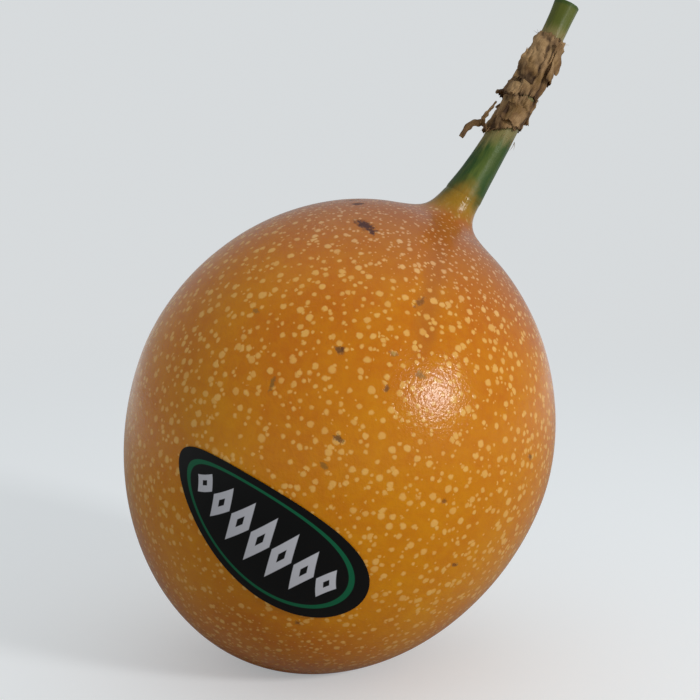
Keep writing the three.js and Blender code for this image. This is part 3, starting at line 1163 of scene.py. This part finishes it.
@dataclass
class GreenStem:
    """The cut stem, swept along its path with ribs and a flared cut end."""

    plan: Plan
    around: int = 96
    along: int = 220
    sunk: float = 0.04
    tuck: float = 0.06
    cap_share: float = 0.03
    ribs: int = 9
    rib_depth: float = 0.02 * MM
    knobbliness: float = 0.3 * MM
    cut_dish: float = 0.25 * MM

    def sizes(self) -> dict[str, float]:
        """Returns the tree's named inputs."""
        path = self.plan.stem()
        return {
            "Foot radius": path.foot_radius,
            "Waist": path.waist,
            "Taper": path.taper,
            "Flare": path.flare,
            "Flare sharpness": path.flare_sharpness,
            "Sunk": self.sunk,
            "Tuck": self.tuck,
            "Cap share": self.cap_share,
            "Ribs": float(self.ribs),
            "Rib depth": self.rib_depth,
            "Knobbliness": self.knobbliness,
            "Cut dish": self.cut_dish,
        }

    def build(self, material: bpy.types.Material) -> bpy.types.Mesh:
        """Returns the stem's mesh, in place."""
        path = self.plan.stem()
        sizes = self.sizes()
        graph, ins, keys = shape_tree("stem", sizes)
        plugs = {"Size X": 1.0, "Size Y": 1.0, "Vertices X": self.around + 1, "Vertices Y": self.along}
        sheet = graph.wire("GeometryNodeMeshGrid", plugs)
        x, y, _ = graph.wire("GeometryNodeInputPosition").parts()
        heading = (x + 0.5) * (2 * math.pi)
        run = y + 0.5
        foot = (run / ins["Cap share"]).clamped()
        head = (run - (1 - ins["Cap share"])) / ins["Cap share"]
        head = 1 - head.clamped()
        share = ((run - ins["Cap share"]) / (1 - 2 * ins["Cap share"])).clamped()
        share = share * (1 + ins["Sunk"]) - ins["Sunk"]
        swell = ins["Foot radius"] - ins["Waist"]
        radius = ins["Waist"] + swell * (share / ins["Taper"] * -1).math("EXPONENT")
        radius = radius + ins["Flare"] * share.math("MAXIMUM", 0) ** ins["Flare sharpness"]
        rib = (heading * ins["Ribs"]).math("COSINE") * ins["Rib depth"] * share.ramp(0, 0.12)
        round_x, round_y = heading.math("COSINE"), heading.math("SINE")
        lumps = graph.cloud(graph.vector(round_x, round_y, share * 7), 1.6, 2) - 0.5
        radius = radius + rib + lumps * ins["Knobbliness"] * share.ramp(0, 0.2)
        radius = radius * foot * head * (1 - ins["Tuck"] * (share / ins["Sunk"] * -1).ramp(0.0, 1.0))
        centre = self.line(graph, share, path)
        slope_x, _, slope_z = self.slope(graph, share, path).parts()
        dish = (1 - head) * head * 4 * ins["Cut dish"] * -1
        spot_x, spot_y, spot_z = centre.parts()
        moved = graph.vector(
            spot_x + slope_z * radius * round_x + slope_x * dish,
            spot_y + radius * round_y,
            spot_z - slope_x * radius * round_x + slope_z * dish,
        )
        shaped = graph.wire("GeometryNodeSetPosition", {"Geometry": sheet, "Position": moved})
        closed = graph.wire("GeometryNodeMergeByDistance", {"Geometry": shaped, "Distance": 1e-6})
        matrix = self.plan.matrix()
        plugs = {
            "Geometry": closed,
            "Translation": matrix.translation[:],
            "Rotation": matrix.to_euler("XYZ")[:],
        }
        end_tree(graph, graph.wire("GeometryNodeTransform", plugs), material)
        return evaluate("stem_bark", graph, keys, sizes)

    def line(self, graph: Graph, share: Wire, path: StemPath) -> Wire:
        """Returns the centre line's point at a share of the length.

        Args:
            graph: The tree.
            share: The share.
            path: The stem's path.
        """
        rest = 1 - share
        start = graph.vector(*path.start).scaled(rest * rest)
        bend = graph.vector(*path.bend).scaled(share * rest * 2)
        end = graph.vector(*path.end).scaled(share * share)
        return start.vector_math("ADD", bend).vector_math("ADD", end)

    def slope(self, graph: Graph, share: Wire, path: StemPath) -> Wire:
        """Returns the centre line's unit direction.

        Args:
            graph: The tree.
            share: The share of the length.
            path: The stem's path.
        """
        low = graph.vector(*(path.bend - path.start)).scaled(1 - share)
        high = graph.vector(*(path.end - path.bend)).scaled(share)
        return low.vector_math("ADD", high).vector_math("NORMALIZE")

    def dress(self) -> bpy.types.Object:
        """Builds the stem, dresses it and adds it."""
        material = StemFinish(self.plan).build()
        return add_piece("stem_bark", self.build(material), ["stem"], material)


# ---- The dried bracts ---------------------------------------------------------------------


@dataclass(frozen=True)
class Scale:
    """One dried bract remnant: a thin sheet wrapped on the stem.

    Attributes:
        name: The piece's name.
        node: The CAD node that it stands for, or nothing for a flake too thin to be one.
        low: Height of its lower edge, in millimetres above the widest ring.
        high: Height of its upper edge.
        middle: Heading of its middle round the stem, in degrees.
        sweep: How far round the stem it goes, in degrees.
        standoff: Its clearance from the stem, in millimetres.
        puff: Extra clearance at half height.
        flare_low: How far its lower edge curls out.
        flare_high: How far its upper edge curls out.
        tear_low: How deep its lower edge is torn.
        tear_high: How deep its upper edge is torn.
        slant: How much higher its lower edge is on the stem's +X side than in its middle plane.
        seed: Picks its folds and tears.
    """

    name: str
    node: str
    low: float
    high: float
    middle: float
    sweep: float
    standoff: float
    puff: float
    flare_low: float
    flare_high: float
    tear_low: float
    tear_high: float
    slant: float
    seed: float


@dataclass(frozen=True)
class Shred:
    """A narrow torn strip that stands off the stem, along a route in the fruit's own frame.

    Attributes:
        name: The piece's name.
        node: The CAD node that it stands for.
        route: Its middle line, in millimetres.
        width: Its widest width, in millimetres.
        twist: How far it turns from end to end, in degrees.
        facing: The heading that its face starts from, in degrees.
        seed: Picks its frays.
    """

    name: str
    node: str
    route: tuple[tuple[float, float, float], ...]
    width: float
    twist: float
    facing: float
    seed: float


@dataclass(frozen=True)
class EdgeHairs:
    """Loose fibres scattered round the stem, where a remnant's edge is torn.

    Attributes:
        name: The piece's name.
        height: Where they grow, in millimetres above the fruit's widest ring.
        count: How many there are.
        length: Of the longest, in millimetres.
        lean: How far they turn from the stem's direction towards outwards, in degrees.
        seed: Picks their places.
    """

    name: str
    height: float
    count: int
    length: float
    lean: float
    seed: float
    thickness: float = 0.07

    def build(self, plan: Plan, material: bpy.types.Material) -> bpy.types.Mesh:
        """Returns their mesh, in place.

        Args:
            plan: The plant's rules.
            material: Their finish.
        """
        path = plan.stem()
        share = path.share_at(self.height * MM)
        sizes = {
            "Ring radius": path.radius(share) + 0.3 * MM,
            "Fibre length": self.length * MM,
            "Thickness": self.thickness * MM,
            "Lean": self.lean * DEG,
            "Seed": self.seed,
        }
        graph, ins, keys = shape_tree("edge_hairs", sizes)
        ring = graph.wire("GeometryNodeMeshCircle", {"Vertices": self.count, "Radius": ins["Ring radius"]})
        spot = graph.wire("GeometryNodeInputPosition")
        x, y, _ = spot.parts()
        seeded = spot.scaled(1000.0).vector_math("ADD", graph.vector(ins["Seed"], 0.0, 0.0))
        plugs = {"Vector": seeded}
        first, second, third = graph.wire("ShaderNodeTexWhiteNoise", plugs, out="Color").parts()
        cone = {"Vertices": 5, "Side Segments": 6, "Fill Segments": 1, "Depth": ins["Fibre length"]}
        cone |= {"Radius Top": ins["Thickness"] * 0.25, "Radius Bottom": ins["Thickness"]}
        fibre = graph.wire("GeometryNodeMeshCone", cone)
        along = graph.wire("GeometryNodeInputPosition").parts()[2]
        curl = along * along / ins["Fibre length"] * 0.45
        plugs = {"Geometry": fibre, "Offset": graph.vector(curl, 0.0, 0.0)}
        bent = graph.wire("GeometryNodeSetPosition", plugs)
        heading = y.math("ARCTAN2", x) + (second - 0.5) * 1.4
        plugs = {
            "Points": ring,
            "Instance": bent,
            "Rotation": graph.vector(0.0, ins["Lean"] + (first - 0.5) * 1.1, heading),
            "Scale": 0.35 + 0.65 * third,
        }
        scattered = graph.wire("GeometryNodeInstanceOnPoints", plugs)
        end_tree(graph, scattered, material)
        mesh = evaluate(self.name, graph, keys, sizes)
        lean = path.along(share).to_track_quat("Z", "Y").to_matrix().to_4x4()
        mesh.transform(plan.matrix() @ Matrix.Translation(path.point(share)) @ lean)
        return mesh


@dataclass
class DriedBracts:
    """The brown remains of the bracts that clasp the stem."""

    plan: Plan
    thickness: float = 0.14 * MM
    scales: tuple[Scale, ...] = (
        Scale(
            "bract_lower_wrap", "bract_sleeve_lower", 49.6, 56.6, -60, 330,
            0.2, 0.1, 0.1, 0.2, 1.5, 1.2, 1.3, 3.1,
        ),
        Scale(
            "bract_upper_wrap", "bract_sleeve_upper", 55.6, 66.6, -70, 345,
            0.2, 0.45, 0.1, -0.1, 1.5, 1.0, 0.4, 7.7,
        ),
        Scale(
            "bract_flap_left", "bract_stub_left", 54.3, 57.9, 190, 130,
            0.5, 0.2, 1.15, 0.2, 2.0, 0.7, 0, 11.3,
        ),
        Scale(
            "bract_flap_right", "bract_stub_right", 59.0, 64.4, -12, 85,
            0.55, 0.15, 0.7, 0.1, 1.8, 0.6, 0, 17.9,
        ),
        Scale(
            "bract_flap_back", "bract_stub_back", 52.6, 57.4, 85, 110,
            0.6, 0.1, 0.6, 0.2, 1.6, 0.6, 0, 23.3,
        ),
        Scale("bract_flake_front", "", 50.4, 54.8, -80, 75, 0.55, 0.25, 0.35, 0.5, 1.8, 1.5, 0.3, 41.7),
        Scale("bract_flake_high", "", 57.2, 63.5, -115, 70, 0.6, 0.35, 0.3, 0.1, 1.6, 1.4, 0, 53.2),
        Scale("bract_flake_side", "", 60.8, 65.8, -35, 60, 0.5, 0.3, 0.15, 0.1, 1.4, 1.2, 0, 59.6),
    )
    twist: float = 0.07
    shreds: tuple[Shred, ...] = (
        Shred(
            "bract_curl",
            "bract_strand",
            (
                (4.3, -1.6, 49.2),
                (3.7, -1.4, 49.7),
                (2.9, -1.1, 50.1),
                (2.0, -0.9, 49.7),
                (1.3, -0.9, 48.7),
                (0.9, -0.8, 47.0),
            ),
            1.25,
            140,
            -40,
            31.0,
        ),
        Shred(
            "bract_spike",
            "bract_spur",
            ((3.0, -1.2, 49.9), (3.0, -1.0, 51.0), (3.4, -0.9, 52.3), (3.9, -0.8, 54.0)),
            0.95,
            60,
            -60,
            37.0,
        ),
    )

    hairs: tuple[EdgeHairs, ...] = (
        EdgeHairs("edge_hairs_low", 49.6, 17, 1.7, 148, 2.3),
        EdgeHairs("edge_hairs_middle", 57.0, 19, 1.6, 125, 5.1),
        EdgeHairs("edge_hairs_flake", 60.8, 13, 1.5, 120, 9.4),
        EdgeHairs("edge_hairs_high", 65.8, 15, 1.3, 24, 8.7),
    )

    def wrap(self, scale: Scale, material: bpy.types.Material) -> bpy.types.Mesh:
        """Returns the mesh of one wrapped remnant, in place.

        Args:
            scale: The remnant.
            material: Its finish.
        """
        path = self.plan.stem()
        columns = max(40, int(scale.sweep / 2.2))
        rows = max(24, int((scale.high - scale.low) * 9))
        matrix = self.plan.matrix()
        spots, painted_hollow_shades = [], []
        for i in range(columns + 1):
            turn = (scale.middle + scale.sweep * (i / columns - 0.5)) * DEG
            around = Vector((math.cos(turn), math.sin(turn), scale.seed))
            low = scale.low + scale.tear_low * self.tear(around * 2.3) + scale.slant * math.cos(turn)
            high = scale.high - scale.tear_high * self.tear(around * 2.3 + Vector((9, 0, 0)))
            rim = min(i, columns - i) / columns
            for j in range(rows + 1):
                climb = j / rows
                height = low + (high - low) * climb
                share = path.share_at(height * MM)
                spun = turn + height * self.twist
                spot = Vector((math.cos(spun), math.sin(spun), height * 0.16 + scale.seed))
                fold = self.folds(spot)
                lump = noise.noise(Vector((spot.x * 1.6, spot.y * 1.6, height * 0.42 + scale.seed)))
                crumple = noise.noise(Vector((spot.x * 3, spot.y * 3, height * 0.9 + scale.seed)))
                lift = scale.standoff + scale.puff * math.sin(math.pi * climb)
                lift += scale.flare_low * (1 - climb) ** 4 + scale.flare_high * climb**5
                lift += 0.6 * lump + 0.28 * fold + 0.26 * crumple + 0.3 * math.exp(-rim * 40)
                drop = max(0.12, lift) * MM
                spots.append(matrix @ path.off(share, turn, path.radius(share) + drop))
                rag = noise.noise(Vector((spot.x * 6.5, spot.y * 6.5, height * 2.1 + scale.seed)))
                # Painted shade: darker where the sheet dips in its lumps, folds and crumples, along its lower
                # edge and its side edges, with a little random raggedness.
                hollow = 0.2 - lump * 1.7 - fold * 0.6 - crumple * 1.1
                hollow += 0.7 * math.exp(-climb * 9) + 0.3 * math.exp(-rim * 25) + 0.25 * rag
                painted_hollow_shades.append(min(1.0, max(0.0, hollow)) ** 1.4)
        return self.sheet(scale.name, spots, columns, rows, painted_hollow_shades, material)

    def tear(self, spot: Vector) -> float:
        """Returns how deep a torn edge is cut at a place, from 0 to about 1."""
        broad = 0.5 + 0.5 * noise.noise(spot)
        sharp = abs(noise.noise(spot * 4.1))
        fine = abs(noise.noise(spot * 13))
        return 0.55 * broad + 0.5 * sharp + 0.3 * fine

    def folds(self, spot: Vector) -> float:
        """Returns the height of the lengthwise folds at a place, about -1 to 1."""
        ridge = 1 - 2 * abs(noise.noise(Vector((spot.x * 1.7, spot.y * 1.7, spot.z))))
        fine = 1 - 2 * abs(noise.noise(Vector((spot.x * 4.6, spot.y * 4.6, spot.z * 2))))
        return 0.65 * (ridge - 0.5) + 0.35 * (fine - 0.5)

    def strip(self, shred: Shred, material: bpy.types.Material) -> bpy.types.Mesh:
        """Returns the mesh of one torn strip, in place.

        Args:
            shred: The strip.
            material: Its finish.
        """
        matrix = self.plan.matrix()
        columns, rows = 14, 60
        spots, painted_hollow_shades = [], []
        for i in range(columns + 1):
            off = 2 * i / columns - 1
            for j in range(rows + 1):
                run = j / rows
                point, along = self.route_at(shred.route, run)
                turn = (shred.facing + shred.twist * run) * DEG
                face = Vector((math.cos(turn), math.sin(turn), 0.2))
                across = along.cross(face).normalized()
                out = across.cross(along).normalized()
                fray = 1 + 0.55 * noise.noise(Vector((off * 0.8, run * 7, shred.seed)))
                taper = min(1.0, 0.45 + run * 3) * (1 - 0.55 * run**3)
                reach = shred.width / 2 * taper * fray
                curl = 0.45 * (off * off - 0.4) * reach
                crumple = 0.16 * noise.noise(Vector((off * 2.5, run * 9, shred.seed + 5)))
                spot = point + across * (off * reach) + out * (curl + crumple)
                spots.append(matrix @ (spot * MM))
                # Painted shade: darker where the strip crumples in.
                painted_hollow_shades.append(min(1.0, max(0.0, 0.35 - crumple * 4)))
        return self.sheet(shred.name, spots, columns, rows, painted_hollow_shades, material)

    def route_at(self, route: tuple[tuple[float, float, float], ...], run: float) -> tuple[Vector, Vector]:
        """Returns a point of a smooth route and the direction there.

        Args:
            route: The route's points.
            run: How far along it, from 0 to 1.

        Returns:
            The point and the unit direction.
        """
        points = [Vector(point) for point in route]
        points = [2 * points[0] - points[1], *points, 2 * points[-1] - points[-2]]
        place = min(run, 0.9999) * (len(points) - 3)
        first = int(place)
        t = place - first
        a, b, c, d = points[first : first + 4]
        square = 2 * a - 5 * b + 4 * c - d
        cube = 3 * b - a - 3 * c + d
        point = 0.5 * (2 * b + (c - a) * t + square * t**2 + cube * t**3)
        slope = 0.5 * ((c - a) + 2 * square * t + 3 * cube * t**2)
        return point, slope.normalized()

    def sheet(
        self,
        name: str,
        spots: list[Vector],
        columns: int,
        rows: int,
        painted_hollow_shades: list[float],
        material: bpy.types.Material,
    ) -> bpy.types.Mesh:
        """Returns a thin closed sheet through a grid of points.

        Args:
            name: The mesh's name.
            spots: The points, column by column.
            columns: The number of gaps between columns.
            rows: The number of gaps between rows.
            painted_hollow_shades: How much painted shade each point gets.
            material: The finish.
        """
        flat = bpy.data.meshes.new(name)
        stride = rows + 1
        faces = [
            (i * stride + j, (i + 1) * stride + j, (i + 1) * stride + j + 1, i * stride + j + 1)
            for i in range(columns)
            for j in range(rows)
        ]
        flat.from_pydata([spot[:] for spot in spots], [], faces)
        shade = flat.attributes.new("hollow", "FLOAT", "POINT")
        shade.data.foreach_set("value", painted_hollow_shades)
        flat.materials.append(material)
        holder = bpy.data.objects.new(name + "_holder", flat)
        bpy.context.scene.collection.objects.link(holder)
        solid = holder.modifiers.new("thickness", "SOLIDIFY")
        solid.thickness = self.thickness
        solid.offset = 0
        view = bpy.context.evaluated_depsgraph_get()
        made = bpy.data.meshes.new_from_object(holder.evaluated_get(view))
        bpy.data.objects.remove(holder)
        made.name = name
        made.shade_smooth()
        return made

    def dress(self) -> None:
        """Builds every remnant, dresses it and adds it."""
        material = DryFinish(self.plan).build()
        for scale in self.scales:
            nodes = [scale.node] if scale.node else []
            add_piece(scale.name, self.wrap(scale, material), nodes, material)
        for shred in self.shreds:
            add_piece(shred.name, self.strip(shred, material), [shred.node], material)
        for hairs in self.hairs:
            add_piece(hairs.name, hairs.build(self.plan, material), [], material)


# ---- The label ----------------------------------------------------------------------------


@dataclass
class SkinLabel:
    """The thin printed film on the skin."""

    plan: Plan
    length: float = 32.5 * MM
    width: float = 14.6 * MM
    taper: float = 0.28
    aim: Vector = field(default_factory=lambda: Vector((-0.145, -0.87, -0.5)).normalized())
    turn: float = 20 * DEG
    lift: float = 0.1 * MM
    thickness: float = 0.08 * MM
    rings: int = 44
    spokes: int = 180

    def build(self, material: bpy.types.Material) -> bpy.types.Mesh:
        """Returns the label's mesh, in place."""
        east = Vector((0, 0, 1)).cross(self.aim).normalized()
        down = east.cross(self.aim).normalized()
        long = east * math.cos(self.turn) + down * math.sin(self.turn)
        short = self.aim.cross(long)
        matrix = self.plan.matrix()
        made = bmesh.new()
        layer = made.loops.layers.uv.new("print")
        flat = {}
        grid = []
        for ring in range(self.rings + 1):
            share = math.sin(ring / self.rings * math.pi / 2)
            row = []
            for spoke in range(self.spokes if ring else 1):
                heading = 2 * math.pi * spoke / self.spokes
                x = share * math.cos(heading)
                y = share * math.sin(heading) * (1 + self.taper * x)
                vertex = made.verts.new(self.on_skin(matrix, long, short, x, y, share, heading))
                flat[vertex] = (x * self.length / 2 / MM, y * self.width / 2 / MM)
                row.append(vertex)
            grid.append(row)
        for ring in range(self.rings):
            inner, outer = grid[ring], grid[ring + 1]
            for spoke in range(self.spokes):
                after = (spoke + 1) % self.spokes
                if ring:
                    corners = (inner[spoke], outer[spoke], outer[after], inner[after])
                else:
                    corners = (inner[0], outer[spoke], outer[after])
                face = made.faces.new(corners)
                for loop in face.loops:
                    loop[layer].uv = flat[loop.vert]
        mesh = bpy.data.meshes.new("label_film")
        made.to_mesh(mesh)
        made.free()
        mesh.materials.append(material)
        holder = bpy.data.objects.new("label_holder", mesh)
        bpy.context.scene.collection.objects.link(holder)
        solid = holder.modifiers.new("thickness", "SOLIDIFY")
        solid.thickness = self.thickness
        solid.offset = 1
        view = bpy.context.evaluated_depsgraph_get()
        film = bpy.data.meshes.new_from_object(holder.evaluated_get(view))
        bpy.data.objects.remove(holder)
        film.name = "label_film"
        film.shade_smooth()
        return film

    def on_skin(
        self, matrix: Matrix, long: Vector, short: Vector, x: float, y: float, share: float, heading: float
    ) -> Vector:
        """Returns the point of the film above the skin.

        Args:
            matrix: The placement of the fruit's own frame.
            long: Direction of the label's length.
            short: Direction of its width.
            x: Along its length, from -1 to 1.
            y: Along its width, from -1 to 1.
            share: How near the edge the point is, from 0 to 1.
            heading: Round the label.
        """
        sweep = long * (x * self.length / 2) + short * (y * self.width / 2)
        reach = self.plan.egg.reach(self.aim)
        angle = sweep.length / reach
        tangent = sweep.normalized() if sweep.length > 0 else long
        aim = tangent * math.sin(angle) + self.aim * math.cos(angle)
        wave = noise.noise(Vector((math.cos(heading) * 5, math.sin(heading) * 5, 2)))
        pucker = 0.09 * MM * share**10 * (0.5 + 0.5 * wave)
        return matrix @ (aim * (self.plan.egg.reach(aim) + self.lift + pucker))

    def dress(self) -> bpy.types.Object:
        """Builds the label, dresses it and adds it."""
        material = FilmFinish().build(self.length / 2 / MM, self.width / 2 / MM, self.taper)
        return add_piece("label_film", self.build(material), ["fruit_label"], material)


# ---- The studio ---------------------------------------------------------------------------


@dataclass
class Studio:
    """Floor, light and camera."""

    plan: Plan
    backdrop: Colour = (0.680, 0.705, 0.720)
    distance: float = 200 * MM
    frame_width: float = 106.3 * MM
    aim_right: float = 1.29 * MM
    aim_up: float = 11.2 * MM
    floor_reach: float = 3.0
    floor_tone: Colour = (0.42, 0.42, 0.42)
    floor_glow: float = 0.45
    ambient: float = 0.6

    def build(self) -> None:
        """Adds the floor, the world, the lights and the camera."""
        self.floor()
        self.world()
        centre = self.plan.matrix().translation
        self.lamp("key", centre, (0.74, -0.58, 0.33), 0.55, 0.085, 1.42)
        self.lamp("top", centre, (0.1, 0.2, 1.0), 0.7, 0.8, 0.5)
        self.camera()

    def floor(self) -> None:
        """Adds the pale floor, which melts into the backdrop far out."""
        mesh = bpy.data.meshes.new("floor")
        ring = [
            (self.floor_reach * math.cos(k * math.pi / 32), self.floor_reach * math.sin(k * math.pi / 32), 0)
            for k in range(64)
        ]
        mesh.from_pydata(ring, [], [tuple(range(64))])
        floor = bpy.data.objects.new("floor", mesh)
        floor.location.z = -0.02 * MM
        bpy.context.scene.collection.objects.link(floor)
        material, graph, shader = new_material("floor")
        seen = graph.wire("ShaderNodeLightPath", out="Is Camera Ray")
        tone = graph.blend(seen, self.floor_tone, self.backdrop)
        feed(graph.tree, shader.inputs["Base Color"], tone)
        feed(graph.tree, shader.inputs["Emission Color"], self.backdrop)
        feed(graph.tree, shader.inputs["Emission Strength"], seen * self.floor_glow)
        shader.inputs["Roughness"].default_value = 0.9
        spot = graph.wire("ShaderNodeTexCoord", out="Object")
        far = spot.length().ramp(0.08, 0.45)
        glow = graph.node("ShaderNodeEmission", {"Color": self.backdrop, "Strength": 1.0})
        mixed = graph.node("ShaderNodeMixShader", {"Fac": far})
        graph.tree.links.new(shader.outputs[0], mixed.inputs[1])
        graph.tree.links.new(glow.outputs[0], mixed.inputs[2])
        graph.tree.links.new(mixed.outputs[0], graph.tree.nodes["Material Output"].inputs[0])
        mesh.materials.append(material)

    def world(self) -> None:
        """Sets the even pale surroundings."""
        world = bpy.data.worlds.new("studio")
        world.use_nodes = True
        back = world.node_tree.nodes["Background"]
        back.inputs["Color"].default_value = (*self.backdrop, 1)
        graph = Graph(world.node_tree)
        seen = graph.wire("ShaderNodeLightPath", out="Is Camera Ray")
        feed(graph.tree, back.inputs["Strength"], seen * (1 - self.ambient) + self.ambient)
        bpy.context.scene.world = world

    def lamp(
        self,
        name: str,
        target: Vector,
        way: tuple[float, float, float],
        far: float,
        size: float,
        power: float,
    ) -> None:
        """Adds a square soft light.

        Args:
            name: Its name.
            target: What it points at.
            way: The direction towards it.
            far: Its distance.
            size: Its side.
            power: Its power, in watts.
        """
        light = bpy.data.lights.new(name, "AREA")
        light.size = size
        light.energy = power
        lamp = bpy.data.objects.new(name, light)
        towards = Vector(way).normalized()
        lamp.location = target + towards * far
        lamp.rotation_euler = towards.to_track_quat("Z", "Y").to_euler()
        bpy.context.scene.collection.objects.link(lamp)

    def camera(self) -> None:
        """Adds the camera, level with the fruit's lean."""
        lens = bpy.data.cameras.new("camera")
        lens.sensor_width = 36
        lens.lens = lens.sensor_width * self.distance / self.frame_width
        lens.clip_start = 0.01
        camera = bpy.data.objects.new("camera", lens)
        pitch = Matrix.Rotation(-self.plan.stance.lean_back, 4, "X")
        centre = Matrix.Translation(self.plan.matrix().translation)
        stand = Matrix.Translation((self.aim_right, -self.distance, self.aim_up))
        camera.matrix_world = centre @ pitch @ stand @ Matrix.Rotation(math.pi / 2, 4, "X")
        bpy.context.scene.collection.objects.link(camera)
        bpy.context.scene.camera = camera
        bpy.context.scene.view_settings.view_transform = "Standard"


# ---- Putting it together ------------------------------------------------------------------


def main() -> None:
    """Builds the granadilla and its studio."""
    logging.basicConfig(level=logging.INFO, format="%(name)s: %(message)s")
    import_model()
    plan = Plan()
    Studio(plan).build()
    FruitBody(plan).dress()
    GreenStem(plan).dress()
    DriedBracts(plan).dress()
    SkinLabel(plan).dress()


if __name__ == "__main__":
    main()
